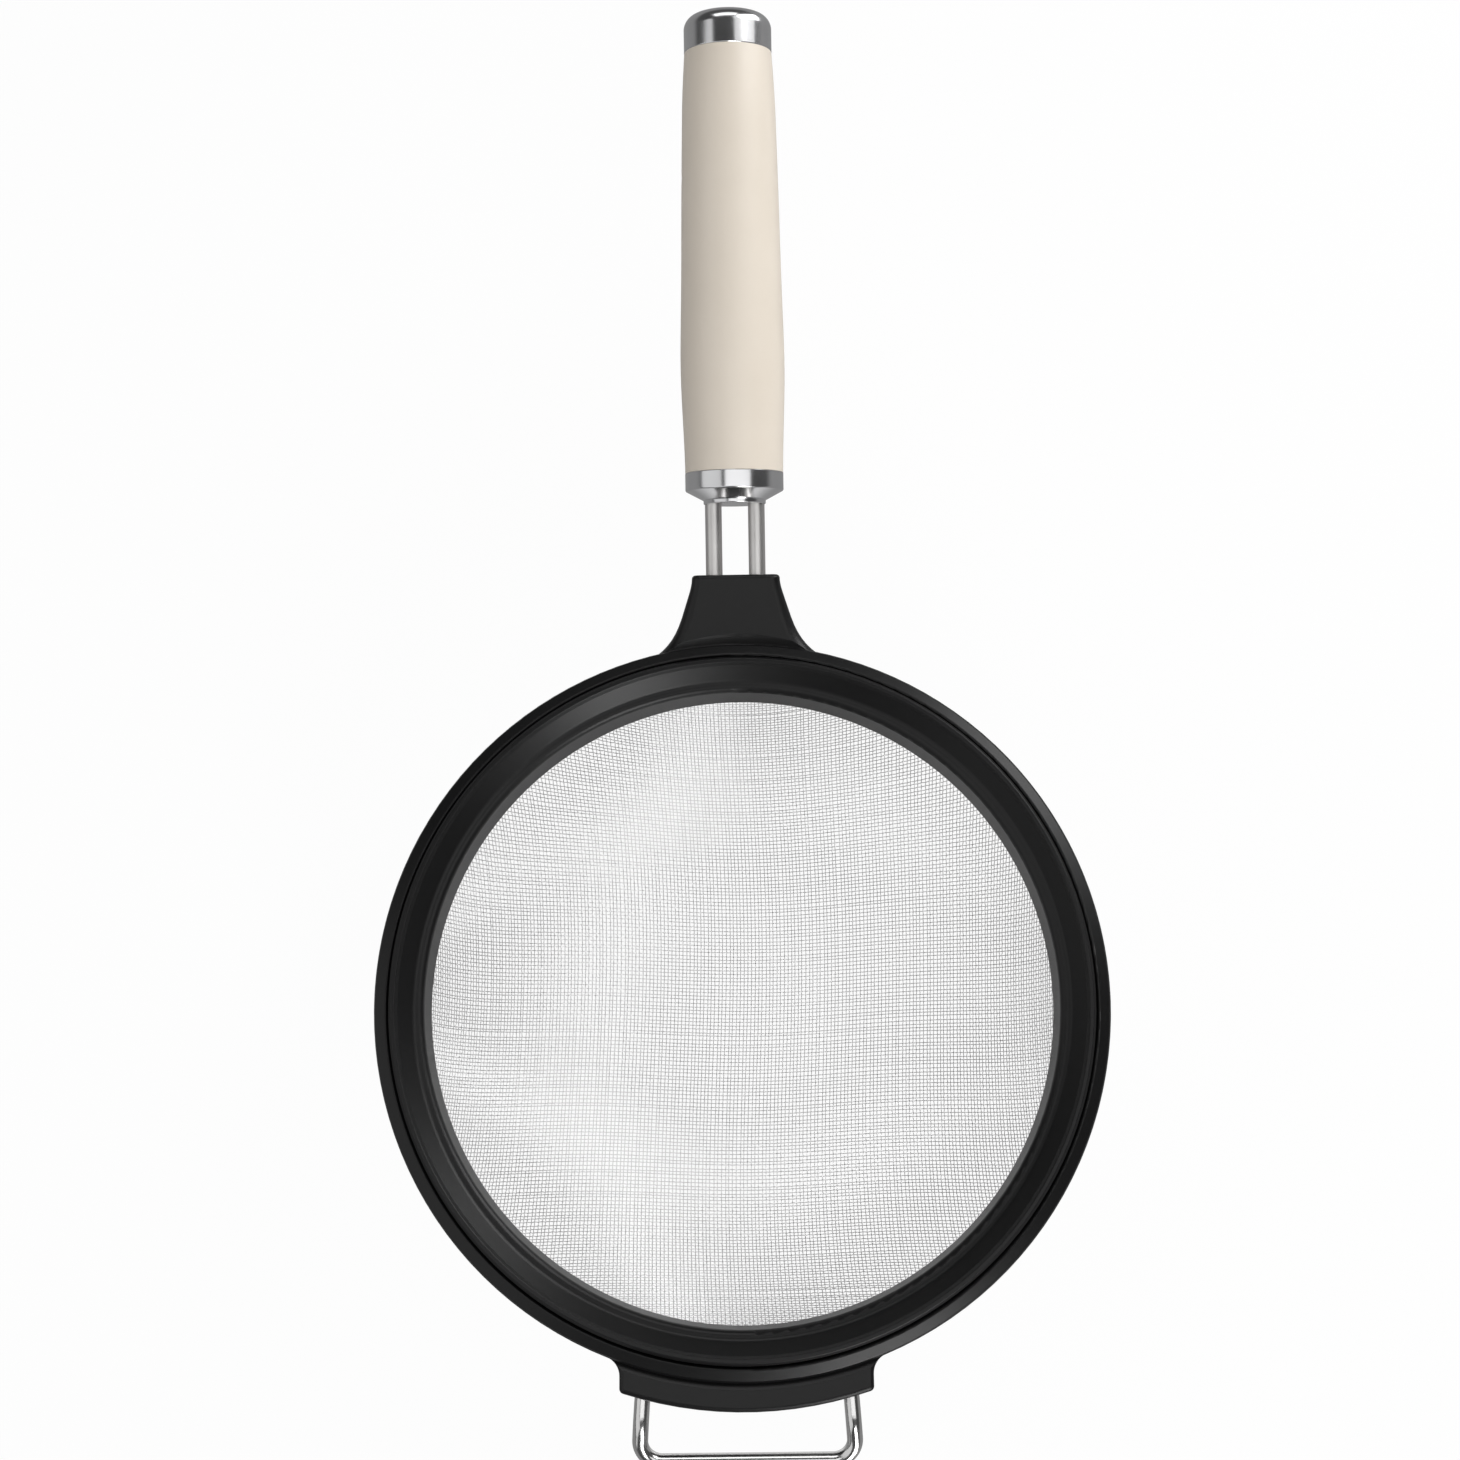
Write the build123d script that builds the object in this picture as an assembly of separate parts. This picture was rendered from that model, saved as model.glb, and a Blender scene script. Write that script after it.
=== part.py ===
from build123d import *
from math import atan2, cos, hypot, radians, sin, sqrt, tan
import os

# A hand strainer: a woven bowl held in a moulded rim, a round grip on two rods, and a wire rest loop.
# Millimetres and degrees. The origin is the centre of the bowl's flat base, +Z is the bowl's axis
# towards its mouth, and the grip points along +Y and rises from the rim.

# Woven bowl, its weave shown as a coarse grid of openings that shrink towards the rim as the weave does
mesh_thickness = 0.5
base_flat_radius = 20.0
bowl_arc_radius = 69.0
bowl_wall_slope = 72.0
openings_across = 12
grid_bar_width = 4.2
grid_border = 2.0

# Rim, from its top downwards
ridge_edge_drop = 1.0
shoulder_drop = 1.6
shoulder_edge_drop = 4.0
flange_depth = 3.5
ledge_thickness = 1.5
hoop_cover = 1.0
hoop_wire_radius = 2.0
crease_depth = 4.8
inner_step_drop = 0.3
hem_above_hoop = 0.6
hem_height = 5.0
edge_below_hem = 2.6
lip_step = 0.2
frame_foot_height = 1.4
frame_side_share = 0.7

# Rim, from the mesh outwards
fit_gap = 0.1
hem_gap = 0.05
hem_sheet = 0.3
frame_wall = 2.9
shoulder_width = 4.2
shoulder_crest_width = 0.7
groove_width = 0.12
ridge_width = 2.4
ridge_top_width = 1.0
ledge_width = 1.2
funnel_width = 3.6
inner_step_width = 2.5
clamp_step_width = 0.8
lip_wall = 2.85
frame_corner_radius = 1.0
ridge_corner_radius = 0.7
crease_corner_radius = 1.8

# Handle socket, in sections from the hoop to its mouth: half widths, and the bottom at shares of the
# mouth's half height. Its flat top rises straight from a share of that height to the mouth.
handle_rise = 15.0
socket_length = 24.5
socket_half_widths = (27.0, 23.5, 19.6, 16.9, 14.8, 13.1, 11.9)
socket_corner_radii = (4.0, 3.9, 3.7, 3.4, 3.0, 2.6, 2.3)
socket_station_shares = (0.0, 0.08, 0.2, 0.34, 0.53, 0.74, 1.0)
socket_half_height = 5.5
socket_top_start_share = 0.67
socket_flat_start_share = 0.35
socket_bottom_shares = (0.98, 1.07, 1.16, 1.18, 1.15, 1.07, 1.0)
socket_edge_radius = 1.0
socket_foot_depth = 3.6
socket_flat_edge_radius = 4.0

# Valleys beside the rim, from which the socket and the lug rise outwards
valley_corner_radius = 0.8
valley_blend_gap = 0.05

# Front lug
lug_reach = 7.0
lug_half_width = 31.8
lug_fillet_radius = 5.0
lug_corner_radius = 1.3
lug_edge_radius = 1.2
lug_top_drop = 4.0
lug_thickness = 10.0
lug_foot_depth = 4.8
lug_foot_slope = 25.0

# Rest loop
loop_wire_radius = 2.0
loop_half_width = 26.0
loop_bow = 1.3
loop_foot_length = 10.0
loop_foot_bend_radius = 4.5
loop_leg_run = 3.0
loop_leg_bend_radius = 9.0
loop_reach = 10.1
loop_drop_angle = 25.0
loop_corner_radius = 5.6

# Rods
rod_radius = 2.25
rod_spacing = 11.6
rod_exposed_length = 19.15
rod_hidden_length = 62.0

# Ferrule and its seals
ferrule_radius = 13.25
ferrule_boss_radius = 8.4
ferrule_boss_height = 1.0
ferrule_cone_height = 2.6
ferrule_band_height = 4.8
ferrule_wall = 1.3
ferrule_floor = 2.2
ferrule_spigot_length = 6.0
ferrule_edge_radius = 0.6
rod_seal_width = 1.0
rod_seal_height = 1.2
grip_seal_width = 1.0
grip_seal_height = 0.8

# Grip: a straight taper from ferrule to cap, with a bulge at shares of its length
grip_length = 112.1
grip_step = 0.05
grip_bulge = 1.2
grip_station_shares = (0.0, 0.12, 0.24, 0.32, 0.42, 0.6, 0.8, 0.89, 0.95, 1.0)
grip_bulge_shares = (0.0, 0.48, 0.97, 1.0, 0.86, 0.75, 0.6, 0.47, 0.25, 0.0)
grip_front_wall = 2.2
grip_back_wall = 2.5

# Core that holds the rods, its pins, and the screw that closes the grip
core_length = 68.0
core_cover = 1.2
core_gap = 0.15
core_rib_height = 3.0
core_rib_shares = (0.0, 0.32, 0.64, 0.94)
pin_radius = 1.25
pin_cover = 0.6
pin_shares = (0.25, 0.75)
insert_radius = 3.5
insert_length = 10.0
screw_radius = 2.0
screw_grip = 8.0
screw_head_radius = 3.5
screw_head_height = 4.0
screw_socket_width = 3.0
screw_socket_depth = 2.0
washer_radius = 4.5
washer_thickness = 0.8

# Back plug, its seal, and the end cap
plug_depth = 16.0
plug_floor = 3.0
plug_well_gap = 1.0
seal_wire_radius = 0.9
seal_depth = 6.0
cap_radius = 11.75
cap_height = 10.0
cap_wall = 0.8
cap_corner_radius = 3.8
cap_edge_radius = 0.3

# One overrun serves every cut
overrun = 1.0

# Heights of the bowl and of the rim's hidden pieces
slope = radians(bowl_wall_slope)
bowl_edge_radius = base_flat_radius + bowl_arc_radius * sin(slope)
bowl_depth = bowl_arc_radius * (1 - cos(slope))
ledge_depth = flange_depth + ledge_thickness
hoop_depth = ledge_depth + hoop_cover + hoop_wire_radius
channel_depth = hoop_depth + hoop_wire_radius + fit_gap
hem_top_depth = hoop_depth - hem_above_hoop
hem_bottom_depth = hem_top_depth + hem_height
bowl_edge_depth = hem_bottom_depth + edge_below_hem
lip_depth = bowl_edge_depth - lip_step
frame_depth = bowl_edge_depth + frame_foot_height
rim_top = bowl_depth + bowl_edge_depth


def level(depth):
    """Height of a point that lies this far below the top of the rim."""
    return rim_top - depth


def wall_radius(depth, offset):
    """Radius at a depth below the rim top of a line that runs offset outside the mesh's straight wall."""
    return bowl_edge_radius + (level(depth) - bowl_depth) / tan(slope) + offset / sin(slope)


# Radii of the rim, each built on the one inside it
hem_outside = hem_gap + hem_sheet
hem_inside = mesh_thickness + hem_gap + hem_sheet
hoop_radius = wall_radius(hoop_depth, hem_outside + fit_gap + hoop_wire_radius)
channel_radius = hoop_radius + hoop_wire_radius + fit_gap
rim_radius = channel_radius + frame_wall
groove_radius = rim_radius - shoulder_width
ledge_radius = groove_radius - ledge_width
lug_radius = rim_radius + lug_reach
block_root_radius = rim_radius - frame_wall / 2

# The handle's axis starts on the hoop, between the rods, and rises
rise = radians(handle_rise)
hoop_height = level(hoop_depth)
handle_root = (0, hoop_radius, hoop_height)
handle_plane = Plane(origin=handle_root, x_dir=(1, 0, 0), z_dir=(0, cos(rise), sin(rise)))

# Distances along the handle from the hoop
ferrule_start = socket_length + rod_exposed_length
ferrule_inside_floor = ferrule_start + ferrule_floor
ferrule_band_start = ferrule_start + ferrule_boss_height + ferrule_cone_height
grip_start = ferrule_band_start + ferrule_band_height
grip_end = grip_start + grip_length
spigot_end = grip_start + ferrule_spigot_length
core_start = spigot_end + fit_gap
core_end = core_start + core_length
rod_end = ferrule_start + rod_hidden_length
plug_start = grip_end - plug_depth
washer_start = plug_start + plug_floor
head_start = washer_start + washer_thickness
seal_centre = grip_end - seal_depth
boss_end = grip_end + cap_height - cap_corner_radius
cap_end = grip_end + cap_height

# Radii along the handle
grip_front_radius = ferrule_radius - grip_step
grip_back_radius = cap_radius - grip_step
bore_front_radius = grip_front_radius - grip_front_wall
bore_back_radius = grip_back_radius - grip_back_wall
spigot_radius = bore_front_radius - core_gap
waist_radius = rod_spacing / 2 + rod_radius + core_cover
well_radius = washer_radius + plug_well_gap
boss_radius = cap_radius - cap_wall - core_gap
pin_stations = [core_start + (rod_end - core_start) * share for share in pin_shares]


def bore_radius(distance):
    """Radius of the grip's tapered bore at a distance along the handle."""
    share = (distance - grip_start) / grip_length
    return bore_front_radius + (bore_back_radius - bore_front_radius) * share


def turned(points, radii=0.0):
    """Solid turned about the Z axis from a closed outline of (radius, height) points and corner radii."""
    outline = FilletPolyline(*points, radius=radii, close=True)
    return revolve(Plane.XZ * make_face(outline), axis=Axis.Z)


def on_handle(solid):
    """Place a solid that is modelled about the Z axis on the handle's axis."""
    return handle_plane.location * solid


def bar(radius, start, end, across=0.0):
    """Round bar along the handle between two distances, set to one side of its axis."""
    length = end - start
    return on_handle(Pos(across, 0, start + length / 2) * Cylinder(radius, length))


def cross_bar(radius, distance, length):
    """Round bar across the handle, along X."""
    return on_handle(Pos(0, 0, distance) * Rot(0, 90, 0) * Cylinder(radius, length))


def write(solid, name):
    """Save one piece under its node's name."""
    solid.label = name
    export_step(solid, f"parts/{name}.step")


def plan_distance(along):
    """Distance from the bowl's axis, seen from above, at a signed length along its outer face."""
    angle = max(abs(along) - base_flat_radius, 0) / bowl_arc_radius
    distance = min(abs(along), base_flat_radius) + bowl_arc_radius * sin(angle)
    return distance if along > 0 else -distance


def mesh_openings():
    """Upright blocks, one for each opening of the grid, cut off round where the bowl's plain edge starts."""
    reach = base_flat_radius + bowl_arc_radius * slope - grid_border
    pitch = 2 * reach / openings_across
    half_opening = (pitch - grid_bar_width) / 2
    spans = []
    for index in range(openings_across):
        middle = (2 * index + 1) * pitch / 2 - reach
        spans.append((plan_distance(middle - half_opening), plan_distance(middle + half_opening)))
    edge_radius = plan_distance(reach - grid_bar_width / 2)
    height = bowl_depth + 2 * overrun
    blocks = []
    for left, right in spans:
        for front, back in spans:
            inner_corner = hypot(min(abs(left), abs(right)), min(abs(front), abs(back)))
            if inner_corner < edge_radius - grid_bar_width / 2:
                block = Box(right - left, back - front, height)
                blocks.append(Pos((left + right) / 2, (front + back) / 2, bowl_depth / 2) * block)
    return Compound(children=blocks) & Pos(0, 0, bowl_depth / 2) * Cylinder(edge_radius, height)


def mesh_bowl():
    """Thin pressed bowl: flat base, one round wall, and a straight steep edge that runs up into the hem."""
    top_depth = hem_top_depth + hem_sheet + hem_gap
    inner_arc_radius = bowl_arc_radius - mesh_thickness

    def arc_point(radius, angle):
        return (base_flat_radius + radius * sin(angle), bowl_arc_radius - radius * cos(angle))

    outer = [arc_point(bowl_arc_radius, angle) for angle in (0, slope / 2, slope)]
    inner = [arc_point(inner_arc_radius, angle) for angle in (slope, slope / 2, 0)]
    outer_top = (wall_radius(top_depth, 0), level(top_depth))
    inner_top = (wall_radius(top_depth, -mesh_thickness), level(top_depth))
    outline = [
        Line((0, 0), outer[0]),
        ThreePointArc(*outer),
        Line(outer[2], outer_top),
        Line(outer_top, inner_top),
        Line(inner_top, inner[0]),
        ThreePointArc(*inner),
        Line(inner[2], (0, mesh_thickness)),
        Line((0, mesh_thickness), (0, 0)),
    ]
    return revolve(Plane.XZ * make_face(outline), axis=Axis.Z) - mesh_openings()


def mesh_hem():
    """Steel strip folded over the top edge of the mesh, leaning with the wall."""
    fold_depth = hem_top_depth + hem_sheet
    corners = [
        (hem_bottom_depth, hem_outside),
        (hem_top_depth, hem_outside),
        (hem_top_depth, -hem_inside),
        (hem_bottom_depth, -hem_inside),
        (hem_bottom_depth, hem_sheet - hem_inside),
        (fold_depth, hem_sheet - hem_inside),
        (fold_depth, hem_gap),
        (hem_bottom_depth, hem_gap),
    ]
    return turned([(wall_radius(depth, offset), level(depth)) for depth, offset in corners])


def hoop_wire():
    """Closed hoop of round wire that lies in the frame's channel."""
    return Pos(0, 0, hoop_height) * Torus(hoop_radius, hoop_wire_radius)


def clamp_ring():
    """Inner funnel: ridge on top, sloping wall, narrow step, and an upright lip over the mesh edge."""
    back_offset = -hem_inside - fit_gap
    step_depth = hem_top_depth - fit_gap
    ridge_middle = groove_radius - ridge_width / 2
    lip_radius = wall_radius(lip_depth, back_offset) - lip_wall
    crease_radius = groove_radius - ridge_width - funnel_width
    points = [
        (lip_radius, level(lip_depth)),
        (crease_radius - inner_step_width, level(crease_depth + inner_step_drop)),
        (crease_radius, level(crease_depth)),
        (groove_radius - ridge_width, level(ridge_edge_drop)),
        (ridge_middle - ridge_top_width / 2, rim_top),
        (ridge_middle + ridge_top_width / 2, rim_top),
        (groove_radius, level(ridge_edge_drop)),
        (groove_radius, level(flange_depth)),
        (ledge_radius, level(flange_depth)),
        (ledge_radius, level(ledge_depth)),
        (wall_radius(step_depth, back_offset) + clamp_step_width, level(step_depth)),
        (wall_radius(step_depth, back_offset), level(step_depth)),
        (wall_radius(lip_depth, back_offset), level(lip_depth)),
    ]
    soft = ridge_corner_radius
    creases = [crease_corner_radius] * 2
    return turned(points, [soft] + creases + [soft] + [soft / 2] * 3 + [0] * 5 + [soft])


def frame_ring():
    """Outer ring of the rim: sloped shoulder, side wall, foot, and the channel that holds hoop and hem."""
    frame_inside = groove_radius + groove_width
    side_depth = frame_depth * frame_side_share
    foot_inside = wall_radius(bowl_edge_depth, fit_gap)
    step_depth = hem_bottom_depth + fit_gap
    hem_offset = hem_outside + fit_gap
    points = [
        (frame_inside, level(shoulder_drop + ridge_edge_drop)),
        (frame_inside + shoulder_crest_width, level(shoulder_drop)),
        (rim_radius - frame_corner_radius / 2, level(shoulder_edge_drop - frame_corner_radius)),
        (rim_radius, level(shoulder_edge_drop)),
        (rim_radius - lip_step, level(side_depth)),
        (rim_radius - frame_wall, level(frame_depth - frame_foot_height)),
        (rim_radius - 2 * frame_wall, level(frame_depth)),
        (foot_inside, level(frame_depth)),
        (foot_inside, level(bowl_edge_depth)),
        (wall_radius(step_depth, fit_gap), level(step_depth)),
        (wall_radius(step_depth, hem_offset), level(step_depth)),
        (wall_radius(channel_depth, hem_offset), level(channel_depth)),
        (channel_radius, level(channel_depth)),
        (channel_radius, level(ledge_depth)),
        (ledge_radius + fit_gap, level(ledge_depth)),
        (ledge_radius + fit_gap, level(flange_depth)),
        (frame_inside, level(flange_depth)),
    ]
    soft = frame_corner_radius
    return turned(points, [0, soft / 2, soft / 2, soft, soft, soft, soft, soft / 2] + [0] * 9)


def rim_valley(foot_depth, lip, end, lip_radius):
    """Cut beside the rim: level at a depth out to the rim's side, up to a lip, and straight on to an end."""
    inside = rim_radius - frame_wall
    above = end[1] + overrun
    foot = level(foot_depth)
    points = [(inside, foot), (rim_radius, foot), lip, end, (end[0], above), (inside, above)]
    return turned(points, [0, valley_corner_radius, lip_radius, 0, 0, 0])


def socket_top(share):
    """Height of the socket's flat top over the handle's axis at a share of the socket's length."""
    return socket_half_height * (socket_top_start_share + (1 - socket_top_start_share) * share)


def over_socket_top(share):
    """Distance from the bowl's axis, and height, of a point just over the middle of the flat top."""
    along = socket_length * share
    up = socket_top(share) + valley_blend_gap
    out = hoop_radius + along * cos(rise) - up * sin(rise)
    return (out, hoop_height + along * sin(rise) + up * cos(rise))


def socket_block():
    """Tapering block between rim and rods, drawn through rounded sections square to the handle."""
    sections = []
    rows = zip(socket_half_widths, socket_corner_radii, socket_bottom_shares)
    for station, (half_width, corner, bottom_share) in zip(socket_station_shares, rows):
        bottom = socket_half_height * bottom_share
        middle = (bottom - socket_top(station)) / 2
        outline = RectangleRounded(2 * half_width, bottom + socket_top(station), corner)
        sections.append(on_handle(Pos(0, middle, socket_length * station) * outline))
    block = loft(sections)
    mouth = block.faces().sort_by(Axis(handle_root, handle_plane.z_dir))[-1]
    block = fillet(mouth.edges(), socket_edge_radius)
    lip = over_socket_top(socket_flat_start_share)
    beyond_mouth = over_socket_top(1 + overrun / socket_length)
    block -= rim_valley(socket_foot_depth, lip, beyond_mouth, socket_flat_edge_radius)
    return block - Pos(0, 0, rim_top / 2) * Cylinder(block_root_radius, 2 * rim_top)


def lug_block():
    """Curved tab at the front of the rim, with straight sides that flow into the rim."""
    fillet_x = lug_half_width + lug_fillet_radius
    fillet_y = sqrt((rim_radius + lug_fillet_radius) ** 2 - fillet_x**2)
    angle = atan2(fillet_y, fillet_x)
    corner_x = lug_half_width - lug_corner_radius
    corner_y = sqrt((lug_radius - lug_corner_radius) ** 2 - corner_x**2)
    corner_angle = atan2(corner_y, corner_x)

    def right_arc(centre_x, centre_y, radius, first, last):
        angles = (first, (first + last) / 2, last)
        return [(centre_x + radius * cos(a), centre_y + radius * sin(a)) for a in angles]

    flare = right_arc(fillet_x, -fillet_y, lug_fillet_radius, radians(180) - angle, radians(180))
    corner = right_arc(corner_x, -corner_y, lug_corner_radius, 0.0, -corner_angle)
    mirrored = [[(-x, y) for x, y in arc] for arc in (flare, corner)]
    root = (flare[0][0], -rim_radius / 2)
    left_root = (-flare[0][0], -rim_radius / 2)
    outline = [
        Line(root, flare[0]),
        ThreePointArc(*flare),
        Line(flare[2], corner[0]),
        ThreePointArc(*corner),
        ThreePointArc(corner[2], (0, -lug_radius), mirrored[1][2]),
        ThreePointArc(*mirrored[1]),
        Line(mirrored[0][2], mirrored[1][0]),
        ThreePointArc(*mirrored[0]),
        Line(mirrored[0][0], left_root),
        Line(left_root, root),
    ]
    lug_bottom = level(lug_top_drop + lug_thickness)
    tab = Pos(0, 0, lug_bottom) * extrude(make_face(outline), amount=lug_thickness)

    def is_outer(edge):
        middle = edge.center()
        return hypot(middle.X, middle.Y) > rim_radius + overrun

    level_edges = tab.edges().filter_by(Axis.Z, reverse=True).filter_by(is_outer)
    tab = fillet(level_edges, lug_edge_radius)
    blend_height = level(lug_top_drop) + valley_blend_gap
    foot_run = (blend_height - level(lug_foot_depth)) / tan(radians(lug_foot_slope))
    lip = (rim_radius + foot_run, blend_height)
    tab -= rim_valley(lug_foot_depth, lip, (lug_radius + overrun, blend_height), lug_edge_radius)
    return tab - Pos(0, 0, rim_top / 2) * Cylinder(block_root_radius, 2 * rim_top)


def loop_bar(radius):
    """Bent wire of the rest loop: feet inside the lug, two legs that turn down, and a cross bar."""
    drop = radians(loop_drop_angle)
    foot_y = -rim_radius
    knee_y = -lug_radius - loop_leg_run
    end_y = knee_y - loop_reach * cos(drop)
    foot_z = level(lug_top_drop + lug_thickness / 2)
    end_z = foot_z - loop_reach * sin(drop)
    right = [
        (loop_half_width - loop_foot_length, foot_y, foot_z),
        (loop_half_width, foot_y, foot_z),
        (loop_half_width + loop_bow / 2, knee_y, foot_z),
        (loop_half_width + loop_bow, end_y, end_z),
    ]
    left = [(-x, y, z) for x, y, z in reversed(right)]
    bends = [loop_foot_bend_radius, loop_leg_bend_radius, loop_corner_radius]
    path = FilletPolyline(*right, *left, radius=bends + bends[::-1])
    start = Plane(origin=path @ 0, z_dir=path % 0)
    return sweep(start * Circle(radius), path=path.wire())


def rim_frame():
    """Moulded frame: ring, socket and lug in one, with rod holes and a cavity for the loop's feet."""
    frame = frame_ring() + socket_block() + lug_block()
    for side in (-1, 1):
        frame -= bar(rod_radius + fit_gap, 0.0, socket_length + overrun, side * rod_spacing / 2)
    return frame - loop_bar(loop_wire_radius + hem_gap)


def rod(side):
    """Steel rod, shaped at its root to sit against the hoop, and drilled for the cross pins."""
    hoop_clearance = Pos(0, 0, hoop_height) * Torus(hoop_radius, hoop_wire_radius + hem_gap)
    solid = bar(rod_radius, hoop_wire_radius / 2, rod_end, side * rod_spacing / 2) - hoop_clearance
    for station in pin_stations:
        solid -= cross_bar(pin_radius, station, 4 * rod_spacing)
    return solid


def ferrule():
    """Steel collar: small round boss, coned underside, bright band, and a spigot inside the grip."""
    seal_outside = spigot_radius + grip_seal_width + hem_gap
    inside_radius = spigot_radius - ferrule_wall
    points = [
        (0, ferrule_start),
        (ferrule_boss_radius, ferrule_start),
        (ferrule_boss_radius, ferrule_start + ferrule_boss_height),
        (ferrule_radius, ferrule_band_start),
        (ferrule_radius, grip_start),
        (seal_outside, grip_start),
        (seal_outside, grip_start - grip_seal_height),
        (spigot_radius, grip_start - grip_seal_height),
        (spigot_radius, spigot_end),
        (inside_radius, spigot_end),
        (inside_radius, ferrule_inside_floor),
        (0, ferrule_inside_floor),
    ]
    soft = ferrule_edge_radius
    collar = on_handle(turned(points, [0, soft / 2, 0, soft, soft / 3] + [0] * 7))
    for side in (-1, 1):
        hole = bar(rod_radius + fit_gap, ferrule_start - overrun, grip_start, side * rod_spacing / 2)
        collar -= hole
    return collar


def rod_seals():
    """Two soft rings round the rods, on the ferrule's inner floor."""
    seal_end = ferrule_inside_floor + rod_seal_height
    inner_radius = rod_radius + hem_gap
    rings = []
    for side in (-1, 1):
        across = side * rod_spacing / 2
        ring = bar(inner_radius + rod_seal_width, ferrule_inside_floor, seal_end, across)
        rings.append(ring - bar(inner_radius, ferrule_inside_floor - overrun, seal_end + overrun, across))
    return Compound(children=rings)


def grip_seal():
    """Flat ring between the ferrule's shoulder and the front of the grip."""
    inner_radius = spigot_radius + hem_gap
    points = [
        (inner_radius, grip_start - grip_seal_height),
        (spigot_radius + grip_seal_width, grip_start - grip_seal_height),
        (spigot_radius + grip_seal_width, grip_start),
        (inner_radius, grip_start),
    ]
    return on_handle(turned(points))


def grip():
    """Moulded sleeve with a soft bulge near its front and a tapered bore."""
    outside = []
    for share, bulge in zip(grip_station_shares, grip_bulge_shares):
        radius = grip_front_radius + (grip_back_radius - grip_front_radius) * share + grip_bulge * bulge
        outside.append((radius, grip_start + grip_length * share))
    bore = [(bore_back_radius, grip_end), (bore_front_radius, grip_start)]
    outline = [
        Spline(*outside),
        Line(outside[-1], bore[0]),
        Line(bore[0], bore[1]),
        Line(bore[1], outside[0]),
    ]
    return on_handle(revolve(Plane.XZ * make_face(outline), axis=Axis.Z))


def handle_core():
    """Moulded core with ribs that fill the bore, holes for rods and pins, and a seat for the insert."""
    points = [(0, core_start)]
    for share in core_rib_shares:
        start = core_start + core_length * share
        end = start + core_rib_height
        rib_radius = bore_radius(end) - core_gap
        points += [(waist_radius, start), (rib_radius, start), (rib_radius, end), (waist_radius, end)]
    first_rib_foot = points.index((waist_radius, core_start))
    del points[first_rib_foot]
    points += [(waist_radius, core_end), (0, core_end)]
    core = on_handle(turned(points))
    for side in (-1, 1):
        core -= bar(rod_radius + hem_gap, core_start - overrun, rod_end, side * rod_spacing / 2)
    for station in pin_stations:
        core -= cross_bar(pin_radius, station, 4 * rod_spacing)
    return core - bar(insert_radius, core_end - insert_length, core_end + overrun)


def cross_pins():
    """Two pins that lock the rods in the core."""
    length = 2 * (waist_radius - pin_cover)
    return Compound(children=[cross_bar(pin_radius, station, length) for station in pin_stations])


def threaded_insert():
    """Brass sleeve in the back of the core that takes the tie screw."""
    sleeve = bar(insert_radius, core_end - insert_length, core_end)
    return sleeve - bar(screw_radius, core_end - insert_length - overrun, core_end + overrun)


def tie_screw():
    """Long screw with a round head and a hexagon socket."""
    head_end = head_start + screw_head_height
    socket_start = head_end - screw_socket_depth
    shank = bar(screw_radius, core_end - screw_grip, head_start)
    head = bar(screw_head_radius, head_start, head_end)
    hexagon = RegularPolygon(screw_socket_width / 2, 6, major_radius=False)
    recess = on_handle(Pos(0, 0, socket_start) * extrude(hexagon, amount=screw_socket_depth + overrun))
    return shank + head - recess


def tie_washer():
    """Washer between screw head and plug."""
    washer = bar(washer_radius, washer_start, head_start)
    return washer - bar(screw_radius + fit_gap, washer_start - overrun, head_start + overrun)


def cap_plug():
    """Plug in the back of the grip: tapered body with a seal groove, a well for the screw, and a boss."""
    hole_radius = screw_radius + fit_gap
    groove_bottom = bore_radius(seal_centre) - 2 * seal_wire_radius - hem_gap
    groove_start = seal_centre - seal_wire_radius - hem_gap
    groove_end = seal_centre + seal_wire_radius + hem_gap
    points = [
        (hole_radius, plug_start),
        (bore_radius(plug_start) - core_gap, plug_start),
        (bore_radius(groove_start) - core_gap, groove_start),
        (groove_bottom, groove_start),
        (groove_bottom, groove_end),
        (bore_radius(groove_end) - core_gap, groove_end),
        (bore_radius(grip_end) - core_gap, grip_end),
        (boss_radius, grip_end),
        (boss_radius, boss_end),
        (well_radius, boss_end),
        (well_radius, washer_start),
        (hole_radius, washer_start),
    ]
    return on_handle(turned(points))


def cap_seal():
    """Round ring in the plug's groove, against the bore."""
    centre_radius = bore_radius(seal_centre) - seal_wire_radius
    return on_handle(Pos(0, 0, seal_centre) * Torus(centre_radius - hem_gap / 2, seal_wire_radius))


def end_cap():
    """Drawn steel cap, closed and rounded at its end, that covers the plug's boss."""
    inside_radius = cap_radius - cap_wall
    points = [
        (0, cap_end),
        (cap_radius, cap_end),
        (cap_radius, grip_end),
        (inside_radius, grip_end),
        (inside_radius, cap_end - cap_wall),
        (0, cap_end - cap_wall),
    ]
    inner_corner = cap_corner_radius - cap_wall
    return on_handle(turned(points, [0, cap_corner_radius, cap_edge_radius, 0, inner_corner, 0]))


os.makedirs("parts", exist_ok=True)
write(mesh_bowl(), "mesh_bowl")
write(mesh_hem(), "mesh_hem")
write(hoop_wire(), "hoop_wire")
write(clamp_ring(), "clamp_ring")
write(rim_frame(), "rim_frame")
write(loop_bar(loop_wire_radius), "rest_loop")
write(rod(-1), "rod_left")
write(rod(1), "rod_right")
write(ferrule(), "ferrule")
write(rod_seals(), "rod_seals")
write(grip_seal(), "grip_seal")
write(grip(), "grip")
write(handle_core(), "handle_core")
write(cross_pins(), "cross_pins")
write(threaded_insert(), "threaded_insert")
write(tie_screw(), "tie_screw")
write(tie_washer(), "tie_washer")
write(cap_plug(), "cap_plug")
write(cap_seal(), "cap_seal")
write(end_cap(), "end_cap")
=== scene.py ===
import math

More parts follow.
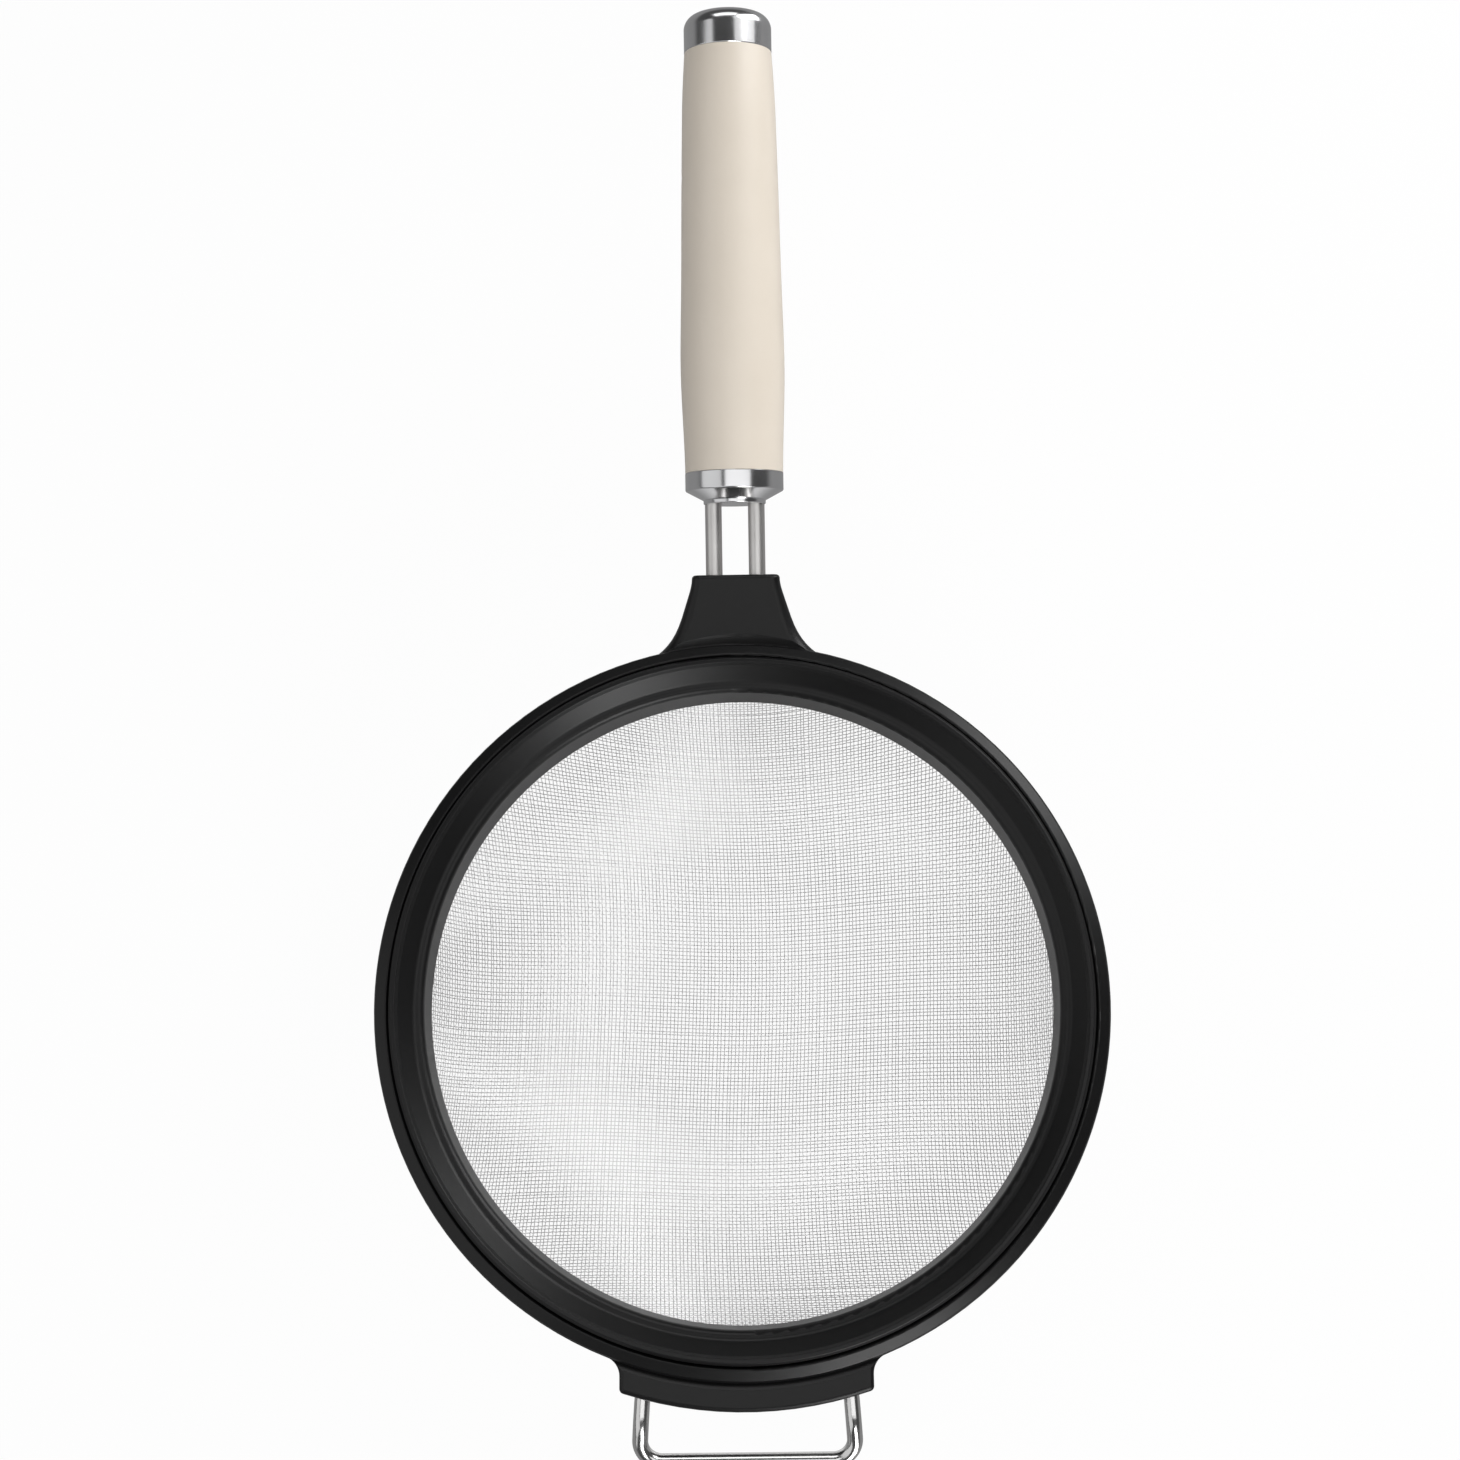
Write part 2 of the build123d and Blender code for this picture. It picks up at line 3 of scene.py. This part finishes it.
import bpy
import numpy as np
from mathutils import Euler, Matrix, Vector


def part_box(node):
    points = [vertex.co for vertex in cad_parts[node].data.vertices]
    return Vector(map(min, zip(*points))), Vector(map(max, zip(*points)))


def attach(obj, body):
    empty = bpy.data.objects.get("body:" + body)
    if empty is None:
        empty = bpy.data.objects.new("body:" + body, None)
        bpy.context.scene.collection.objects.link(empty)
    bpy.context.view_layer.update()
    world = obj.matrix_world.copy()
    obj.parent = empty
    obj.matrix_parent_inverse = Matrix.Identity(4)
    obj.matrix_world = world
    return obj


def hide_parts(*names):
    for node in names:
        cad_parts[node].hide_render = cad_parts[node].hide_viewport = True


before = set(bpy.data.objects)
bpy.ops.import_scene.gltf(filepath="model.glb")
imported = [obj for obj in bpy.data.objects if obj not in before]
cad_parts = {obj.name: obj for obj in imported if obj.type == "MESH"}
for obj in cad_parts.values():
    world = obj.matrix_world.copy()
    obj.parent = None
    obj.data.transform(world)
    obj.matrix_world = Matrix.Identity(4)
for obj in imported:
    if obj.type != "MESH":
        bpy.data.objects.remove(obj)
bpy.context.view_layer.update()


# The view. The strainer lies face up and is seen from above its rim, a little from its front, with the
# grip pointing up the picture. The eye's place is measured from the centre of the rim's top.
picture_side = 1460
focal_length = 2160
sensor_width = 36.0
eye_offset = Vector((0.0049, -0.0610, 0.5568))
eye_turn = [math.radians(angle) for angle in (13.31, 0.88, -0.69)]
rim_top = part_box("clamp_ring")[1].z

camera_data = bpy.data.cameras.new("camera")
camera_data.sensor_width = sensor_width
camera_data.lens = sensor_width * focal_length / picture_side
camera_data.clip_start = 0.01
camera_data.clip_end = 30.0
camera = bpy.data.objects.new("camera", camera_data)
camera.location = Vector((0, 0, rim_top)) + eye_offset
camera.rotation_euler = Euler(eye_turn)
bpy.context.scene.collection.objects.link(camera)
bpy.context.scene.camera = camera
bpy.context.scene.view_settings.view_transform = "Standard"


# The table. A wide white sheet that the bowl's flat base stands on. It shows as plain white to the eye,
# keeps a faint part of the strainer's soft shadow, and falls off to grey in polished steel far out.
class Signal:
    """One shader socket as a value. An expression on signals and numbers adds its Math nodes."""

    def __init__(self, finish, socket):
        self.finish = finish
        self.socket = socket

    def calculate(self, operation, *values):
        """A Math node on these values, in their order."""
        inputs = dict(enumerate(values))
        return self.finish.node("ShaderNodeMath", {"operation": operation}, inputs)

    def __add__(self, other):
        return self.calculate("ADD", self, other)

    def __sub__(self, other):
        return self.calculate("SUBTRACT", self, other)

    def __rsub__(self, other):
        return self.calculate("SUBTRACT", other, self)

    def __mul__(self, other):
        return self.calculate("MULTIPLY", self, other)

    __radd__ = __add__
    __rmul__ = __mul__


class Finish:
    """A node tree for one finish, held by a material or by the world."""

    def __init__(self, owner):
        self.owner = owner
        owner.use_nodes = True
        self.tree = owner.node_tree
        self.tree.nodes.clear()

    def node(self, kind, settings=None, inputs=None, output=0):
        """Add a node: its settings first, then the values or links of its sockets. Returns one output."""
        made = self.tree.nodes.new(kind)
        for name, value in (settings or {}).items():
            if name == "stops":
                stops = made.color_ramp.elements
                while len(stops) < len(value):
                    stops.new(1.0)
                for stop, (position, shade) in zip(stops, value):
                    stop.position = position
                    stop.color = (shade, shade, shade, 1.0)
            else:
                setattr(made, name, value)
        for name, value in (inputs or {}).items():
            if isinstance(value, Signal):
                self.tree.links.new(value.socket, made.inputs[name])
            else:
                made.inputs[name].default_value = value
        return Signal(self, made.outputs[output]) if made.outputs else made

    def place(self, scale=(1.0, 1.0, 1.0), turn=(0.0, 0.0, 0.0)):
        """Object coordinates, turned about X, Y and Z and then scaled."""
        where = self.node("ShaderNodeTexCoord", output="Object")
        turned = self.node("ShaderNodeMapping", inputs={"Vector": where, "Rotation": turn})
        return self.node("ShaderNodeMapping", inputs={"Vector": turned, "Scale": scale})

    def noise(self, where, scale, detail=2.0):
        """Fractal noise from 0 to 1, finer with a larger scale."""
        inputs = {"Vector": where, "Scale": scale, "Detail": detail, "Roughness": 0.5}
        return self.node("ShaderNodeTexNoise", inputs=inputs)

    def blend(self, factor, first, second):
        """Mix of two colours."""
        inputs = {0: factor, 6: (*first, 1.0), 7: (*second, 1.0)}
        return self.node("ShaderNodeMix", {"data_type": "RGBA"}, inputs, 2)


table_size = 6.0
table_drop = 0.00005
table_colour = (0.88, 0.88, 0.88, 1.0)
shown_white_share = 0.95
white_reach = 0.055
grey_reach = 0.125
far_grey = 0.28

half = table_size / 2
table_mesh = bpy.data.meshes.new("table")
corners = [(x, y, -table_drop) for x, y in ((-half, -half), (half, -half), (half, half), (-half, half))]
table_mesh.from_pydata(corners, [], [(0, 1, 2, 3)])
table = bpy.data.objects.new("table", table_mesh)
bpy.context.scene.collection.objects.link(table)

paper = Finish(bpy.data.materials.new("white_paper"))
seen_by_eye, seen_in_steel, seen_through = (
    paper.node("ShaderNodeLightPath", output=ray)
    for ray in ("Is Camera Ray", "Is Glossy Ray", "Is Transmission Ray")
)
spot = paper.node("ShaderNodeTexCoord", output="Object")
distance = paper.node("ShaderNodeVectorMath", {"operation": "LENGTH"}, {0: spot}, "Value")
fall_inputs = {"Value": distance, 1: white_reach, 2: grey_reach, 3: 1.0, 4: far_grey}
fall_off = paper.node("ShaderNodeMapRange", {"interpolation_type": "SMOOTHSTEP"}, fall_inputs)
whiteness = seen_by_eye + (1 - seen_by_eye) * fall_off
shown_share = (seen_by_eye + seen_in_steel + seen_through) * shown_white_share
lit = paper.node("ShaderNodeBsdfDiffuse", inputs={"Color": table_colour})
white = paper.node("ShaderNodeEmission", inputs={"Strength": whiteness})
shown = paper.node("ShaderNodeMixShader", inputs={0: shown_share, 1: lit, 2: white})
paper.node("ShaderNodeOutputMaterial", inputs={"Surface": shown})
table_mesh.materials.append(paper.owner)


# The light. Two large softboxes stand on the right, behind and in front, and a narrow one between them
# leans over the grip. Two dim ones hang over the front of the table and behind the grip's end, a card on
# the left sends some light back, and the room is dark.
def softbox(name, azimuth, elevation, distance, width, tall, radiance, aim=(0.0, 0.0, 0.06)):
    """Area lamp, placed by its direction and distance from the point that it faces. Its energy gives its
    surface the wanted radiance."""
    lamp_data = bpy.data.lights.new(name, "AREA")
    lamp_data.shape = "RECTANGLE"
    lamp_data.size = width
    lamp_data.size_y = tall
    lamp_data.energy = radiance * math.pi * width * tall
    lamp = bpy.data.objects.new(name, lamp_data)
    turn, rise = math.radians(azimuth), math.radians(elevation)
    away = Vector((math.cos(rise) * math.cos(turn), math.cos(rise) * math.sin(turn), math.sin(rise)))
    lamp.location = Vector(aim) + distance * away
    lamp.rotation_euler = (-away).to_track_quat("-Z", "Y").to_euler()
    bpy.context.scene.collection.objects.link(lamp)


softbox("softbox_back", 45.0, 27.0, 1.0, 0.40, 0.84, 4.6)
softbox("softbox_front", -67.0, 22.0, 1.0, 0.38, 0.80, 6.2)
softbox("softbox_side", 17.0, 43.0, 0.8, 0.30, 0.86, 1.05, (0.0, 0.27, 0.15))
softbox("softbox_above", -90.0, 80.0, 0.85, 1.00, 0.36, 1.3, (0.17, 0.05, 0.06))
softbox("softbox_behind", 95.0, 46.0, 1.2, 0.90, 0.40, 2.0)
softbox("card_left", 202.0, 36.0, 1.0, 1.3, 0.90, 0.76, (0.0, 0.1, 0.06))

room_shades = ((0.0, 0.3), (0.5, 0.24), (0.58, 0.08), (1.0, 0.04))
room = Finish(bpy.data.worlds.new("room"))
bpy.context.scene.world = room.owner
direction = room.node("ShaderNodeTexCoord", output="Generated")
upward = room.node("ShaderNodeSeparateXYZ", inputs={"Vector": direction}, output="Z")
shade = room.node("ShaderNodeValToRGB", {"stops": room_shades}, {"Fac": upward * 0.5 + 0.5})
room_light = room.node("ShaderNodeBackground", inputs={"Color": shade})
backdrop = room.node("ShaderNodeBackground", inputs={"Strength": 1.0})
room_seen_by_eye = room.node("ShaderNodeLightPath", output="Is Camera Ray")
room_view = room.node("ShaderNodeMixShader", inputs={0: room_seen_by_eye, 1: room_light, 2: backdrop})
room.node("ShaderNodeOutputWorld", inputs={"Surface": room_view})


# Rim frame and clamp ring. Two glass-filled nylon mouldings in satin black: the outer frame with its
# socket and front lug, and the inner funnel that snaps into it and clamps the edge of the mesh.
class Coating(Finish):
    """A material with one surface shader. Values that stay the same all over are set on its sockets."""

    def __init__(self, name, **uniform):
        super().__init__(bpy.data.materials.new(name))
        self.shader = self.tree.nodes.new("ShaderNodeBsdfPrincipled")
        for socket, value in uniform.items():
            self.shader.inputs[socket.replace("_", " ")].default_value = value
        output = self.tree.nodes.new("ShaderNodeOutputMaterial")
        self.tree.links.new(self.shader.outputs["BSDF"], output.inputs["Surface"])

    def feed(self, socket, signal):
        """Let a signal vary one of the shader's sockets over the surface."""
        self.tree.links.new(signal.socket, self.shader.inputs[socket])

    def bump(self, height, depth):
        """Raise the surface by a signal times a depth in metres."""
        inputs = {"Height": height, "Distance": depth, "Strength": 1.0}
        self.feed("Normal", self.node("ShaderNodeBump", inputs=inputs))


def dress(node_name, coating):
    """Give a carried-over node its finish."""
    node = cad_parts[node_name]
    for slot in node.material_slots:
        slot.material = coating.owner


nylon = Coating("satin_black_nylon", Specular_IOR_Level=0.34)
nylon_grain = nylon.noise(nylon.place(), 5200.0, 2.0)
nylon_flow = nylon.noise(nylon.place(), 55.0, 3.0)
nylon.feed("Base Color", nylon.blend(nylon_flow, (0.0030, 0.0030, 0.0032), (0.0044, 0.0044, 0.0046)))
nylon.feed("Roughness", 0.33 + 0.05 * nylon_flow + 0.03 * nylon_grain)
nylon.bump(nylon_grain, 0.000012)
dress("rim_frame", nylon)
dress("clamp_ring", nylon)


# Mesh bowl. Plain-woven stainless wire, pressed to a round bowl with a flat base. Each thread passes
# over and under its neighbours, and its edge runs up between funnel and frame into the hem.
wire_radius = 0.000121
wire_pitch = 0.00104
wire_sides = 5
flat_radius = 0.020
arc_radius = 0.069
wall_slope = math.radians(72)
skin = 0.0005
edge_below_top = 0.0010
weft_bow, weft_bow_length, weft_bow_shift = 0.00073, 0.088, 0.024
warp_bow, warp_bow_length, warp_bow_shift = 0.00107, 0.150, 0.012
stray = 0.00006
sway = 0.00005
weave_seed = 7

middle_arc = arc_radius - skin / 2
arc_end = flat_radius + middle_arc * wall_slope
radius_end = flat_radius + middle_arc * math.sin(wall_slope)


def plan_radius(arc):
    """Signed plan distance at an arc length from the centre: the arc length itself on the flat, then the
    flat's radius plus the arc's radius times the sine of the turn, then a straight wall at its slope."""
    distance = np.abs(arc)
    turned = np.clip((distance - flat_radius) / middle_arc, 0, wall_slope)
    beyond = np.maximum(distance - arc_end, 0) * math.cos(wall_slope)
    return np.sign(arc) * (np.minimum(distance, flat_radius) + middle_arc * np.sin(turned) + beyond)


def bowl_surface(x, y):
    """Height of the bowl's middle surface over a plan point, and the unit normal to its inside. The
    slope's sine is the distance past the flat over the arc's radius, and the height is that radius times
    one minus the slope's cosine. Above the arc the wall rises straight, by the tangent of its slope."""
    radius = np.hypot(x, y)
    sine = np.clip((radius - flat_radius) / middle_arc, 0, math.sin(wall_slope))
    slope = np.arcsin(sine)
    height = skin / 2 + middle_arc * (1 - np.cos(slope))
    height += np.maximum(radius - radius_end, 0) * math.tan(wall_slope)
    outward = np.stack([x, y], -1) / np.maximum(radius, 1e-9)[..., None]
    normal = np.concatenate([-np.sin(slope)[..., None] * outward, np.cos(slope)[..., None]], -1)
    return height, normal


def make_piece(name, points, *face_sets):
    """Object from an array of points and arrays of faces, one array for each number of corners. Each
    face starts in the list of corners where the faces before it end."""
    mesh = bpy.data.meshes.new(name)
    mesh.vertices.add(len(points))
    mesh.vertices.foreach_set("co", np.ascontiguousarray(points, np.float32).ravel())
    corners = np.concatenate([faces.ravel() for faces in face_sets])
    counts = np.concatenate([np.full(len(faces), faces.shape[1]) for faces in face_sets])
    starts = np.concatenate([[0], np.cumsum(counts)[:-1]])
    mesh.loops.add(len(corners))
    mesh.loops.foreach_set("vertex_index", corners.astype(np.int32))
    mesh.polygons.add(len(counts))
    mesh.polygons.foreach_set("loop_start", starts.astype(np.int32))
    mesh.polygons.foreach_set("use_smooth", np.ones(len(counts), bool))
    mesh.update(calc_edges=True)
    mesh.validate()
    piece = bpy.data.objects.new(name, mesh)
    bpy.context.scene.collection.objects.link(piece)
    return piece


def wires(name, centres, normals, inside):
    """Round wires, one for each row of centres, as rings of points square to the wire: each ring is the
    centre plus the radius times the cosine across and the sine along the bowl's normal."""
    along = np.gradient(centres, axis=1)
    along /= np.linalg.norm(along, axis=-1, keepdims=True)
    across = np.cross(along, normals)
    across /= np.linalg.norm(across, axis=-1, keepdims=True)
    upright = np.cross(across, along)
    angle = np.arange(wire_sides) * 2 * math.pi / wire_sides + math.pi / 2
    rings = centres[:, :, None] + wire_radius * (
        np.cos(angle)[:, None] * across[:, :, None] + np.sin(angle)[:, None] * upright[:, :, None]
    )
    index = np.full(inside.shape, -1)
    index[inside] = np.arange(inside.sum())
    joined = inside[:, :-1] & inside[:, 1:]
    side = np.arange(wire_sides)
    near = index[:, :-1][joined][:, None] * wire_sides
    far = index[:, 1:][joined][:, None] * wire_sides
    following = np.roll(side, -1)
    walls = np.stack([near + side, near + following, far + following, far + side], -1)
    padded = np.pad(inside, ((0, 0), (1, 1)))
    first = index[inside & ~padded[:, :-2]][:, None] * wire_sides + side[::-1]
    last = index[inside & ~padded[:, 2:]][:, None] * wire_sides + side
    ends = np.concatenate([first, last])
    return make_piece(name, rings[inside].reshape(-1, 3), walls.reshape(-1, 4), ends)


def strays(random, count):
    """Drift of each thread off its even place: an offset of its own, plus two sine waves along it, of one
    and of two turns, each of random size and phase."""
    offset = random.normal(0, stray, (count, 1))
    size = random.normal(0, sway, (2, count, 1))
    phase = random.uniform(0, 2 * math.pi, (2, count, 1))
    step = np.arange(count)[None, :]
    waves = (size[k] * np.sin(2 * math.pi * (k + 1) * step / count + phase[k]) for k in (0, 1))
    return offset + sum(waves)


steel_wire = Coating("woven_steel_wire", Metallic=1.0)
wire_tone = steel_wire.noise(steel_wire.place(), 160.0, 3.0)
wire_draw = steel_wire.noise(steel_wire.place(), 9000.0, 2.0)
steel_wire.feed("Base Color", steel_wire.blend(wire_tone, (0.70, 0.70, 0.705), (0.81, 0.805, 0.80)))
steel_wire.feed("Roughness", 0.34 + 0.10 * wire_tone)
steel_wire.bump(wire_draw, 0.000004)

edge_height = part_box("mesh_bowl")[1].z - edge_below_top
arc_top = skin / 2 + middle_arc * (1 - math.cos(wall_slope))
reach = arc_end + (edge_height - arc_top) / math.sin(wall_slope)
thread_count = 2 * int(reach / wire_pitch)
place = (np.arange(thread_count) - (thread_count - 1) / 2) * wire_pitch
random = np.random.default_rng(weave_seed)
warp_turn = 2 * math.pi * (place[None, :] + warp_bow_shift) / warp_bow_length
weft_turn = 2 * math.pi * (place[:, None] - weft_bow_shift) / weft_bow_length
warp_arc = place[:, None] + warp_bow * np.sin(warp_turn)
weft_arc = place[None, :] + weft_bow * np.sin(weft_turn)
warp_arc = warp_arc + strays(random, thread_count)
weft_arc = weft_arc + strays(random, thread_count).T
plan_x, plan_y = plan_radius(warp_arc), plan_radius(weft_arc)
height, normal = bowl_surface(plan_x, plan_y)
crossing = np.stack([plan_x, plan_y, height], -1)
inside = height < edge_height
order = np.arange(thread_count)
over = np.where(np.add.outer(order, order) % 2 == 0, 1.0, -1.0)
lift = (over * wire_radius)[..., None] * normal
warp, weft = crossing + lift, (crossing - lift).transpose(1, 0, 2)

dress("mesh_bowl", steel_wire)
bands = np.array_split(order, 3)
for direction_name, threads, facing, shown_part, names in (
    ("warp", warp, normal, inside, ("left", "middle", "right")),
    ("weft", weft, normal.transpose(1, 0, 2), inside.T, ("front", "middle", "back")),
):
    for band, part in zip(bands, names):
        piece = wires(f"mesh_{direction_name}_{part}", threads[band], facing[band], shown_part[band])
        piece.data.materials.append(steel_wire.owner)
        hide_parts("mesh_bowl")
        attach(piece, "root")


# Rest loop. Chromed steel wire, bent to a wide loop. Its feet are moulded into the front lug, and its
# bar rests on a pot.
chrome = Coating("bright_chrome", Metallic=1.0)
chrome_haze = chrome.noise(chrome.place(), 90.0, 3.0)
chrome_ripple = chrome.noise(chrome.place(), 260.0, 1.0)
chrome.feed("Base Color", chrome.blend(chrome_haze, (0.66, 0.655, 0.65), (0.74, 0.735, 0.73)))
chrome.feed("Roughness", 0.14 + 0.10 * chrome_haze)
chrome.bump(chrome_ripple, 0.00002)
dress("rest_loop", chrome)


# Rods. Two lengths of drawn stainless bar, lightly polished along their length, which run from the hoop
# in the rim through the socket into the grip's core.
handle_rise = math.radians(15)
along_handle = (-handle_rise, 0.0, 0.0)

rod_steel = Coating("drawn_steel_bar", Metallic=1.0)
rod_lines = rod_steel.noise(rod_steel.place((2600.0, 40.0, 2600.0), along_handle), 1.0, 2.0)
rod_tone = rod_steel.noise(rod_steel.place(), 120.0, 2.0)
rod_steel.feed("Base Color", rod_steel.blend(rod_tone, (0.60, 0.585, 0.57), (0.70, 0.69, 0.68)))
rod_steel.feed("Roughness", 0.30 + 0.14 * rod_lines)
rod_steel.bump(rod_lines, 0.000006)
dress("rod_left", rod_steel)
dress("rod_right", rod_steel)


# Ferrule and end cap. Stainless sheet and bar, turned and polished, with faint lines round them from
# the polishing wheel.
polished = Coating("polished_steel", Metallic=1.0)
wheel_lines = polished.noise(polished.place((60.0, 4200.0, 60.0), along_handle), 1.0, 3.0)
polish_haze = polished.noise(polished.place(), 140.0, 3.0)
polished.feed("Base Color", polished.blend(polish_haze, (0.66, 0.66, 0.67), (0.74, 0.74, 0.75)))
polished.feed("Roughness", 0.12 + 0.08 * polish_haze + 0.05 * wheel_lines)
polished.bump(wheel_lines, 0.000004)
dress("ferrule", polished)
dress("end_cap", polished)


# Grip. One cream moulding in satin plastic, with the faint ripple of a thick moulding and a very fine
# surface grain. It is slid over the core and held by the tie screw.
cream = Coating("satin_cream_plastic", Specular_IOR_Level=0.5)
cream_ripple = cream.noise(cream.place(), 70.0, 2.0)
cream_grain = cream.noise(cream.place(), 3800.0, 2.0)
cream.feed("Base Color", cream.blend(cream_ripple, (0.75, 0.675, 0.578), (0.79, 0.713, 0.617)))
cream.feed("Roughness", 0.30 + 0.06 * cream_ripple + 0.03 * cream_grain)
cream.bump(cream_grain, 0.000006)
dress("grip", cream)


# Hidden steel. The hoop that stiffens the rim, the folded hem on the mesh's edge, the pins through the
# core, and the tie screw with its washer.
plain_steel = Coating("plain_steel", Metallic=1.0)
steel_stain = plain_steel.noise(plain_steel.place(), 200.0, 4.0)
plain_steel.feed("Base Color", plain_steel.blend(steel_stain, (0.48, 0.47, 0.46), (0.58, 0.575, 0.57)))
plain_steel.feed("Roughness", 0.28 + 0.18 * steel_stain)
for name in ("hoop_wire", "mesh_hem", "cross_pins", "tie_screw", "tie_washer"):
    dress(name, plain_steel)


# Core and cap plug. Grey glass-filled mouldings inside the grip. The core holds the rod ends, and the
# end cap is pressed onto the plug.
core_nylon = Coating("grey_nylon")
core_fibres = core_nylon.noise(core_nylon.place((1.0, 0.3, 1.0)), 900.0, 3.0)
core_nylon.feed("Base Color", core_nylon.blend(core_fibres, (0.17, 0.17, 0.17), (0.24, 0.24, 0.235)))
core_nylon.feed("Roughness", 0.48 + 0.14 * core_fibres)
dress("handle_core", core_nylon)
dress("cap_plug", core_nylon)


# Seals. Dark moulded silicone rings: round the rods in the ferrule, between ferrule and grip, and in
# the plug's groove.
silicone = Coating("dark_silicone")
silicone_bloom = silicone.noise(silicone.place(), 700.0, 2.0)
silicone.feed("Base Color", silicone.blend(silicone_bloom, (0.10, 0.10, 0.10), (0.15, 0.15, 0.15)))
silicone.feed("Roughness", 0.55 + 0.12 * silicone_bloom)
for name in ("rod_seals", "grip_seal", "cap_seal"):
    dress(name, silicone)


# Threaded insert. Turned brass with faint lines from the tool, pressed into the back of the core for
# the tie screw.
brass = Coating("turned_brass", Metallic=1.0)
brass_lines = brass.noise(brass.place((60.0, 3500.0, 60.0), along_handle), 1.0, 2.0)
brass.feed("Base Color", brass.blend(brass_lines, (0.70, 0.52, 0.24), (0.80, 0.62, 0.32)))
brass.feed("Roughness", 0.22 + 0.12 * brass_lines)
dress("threaded_insert", brass)
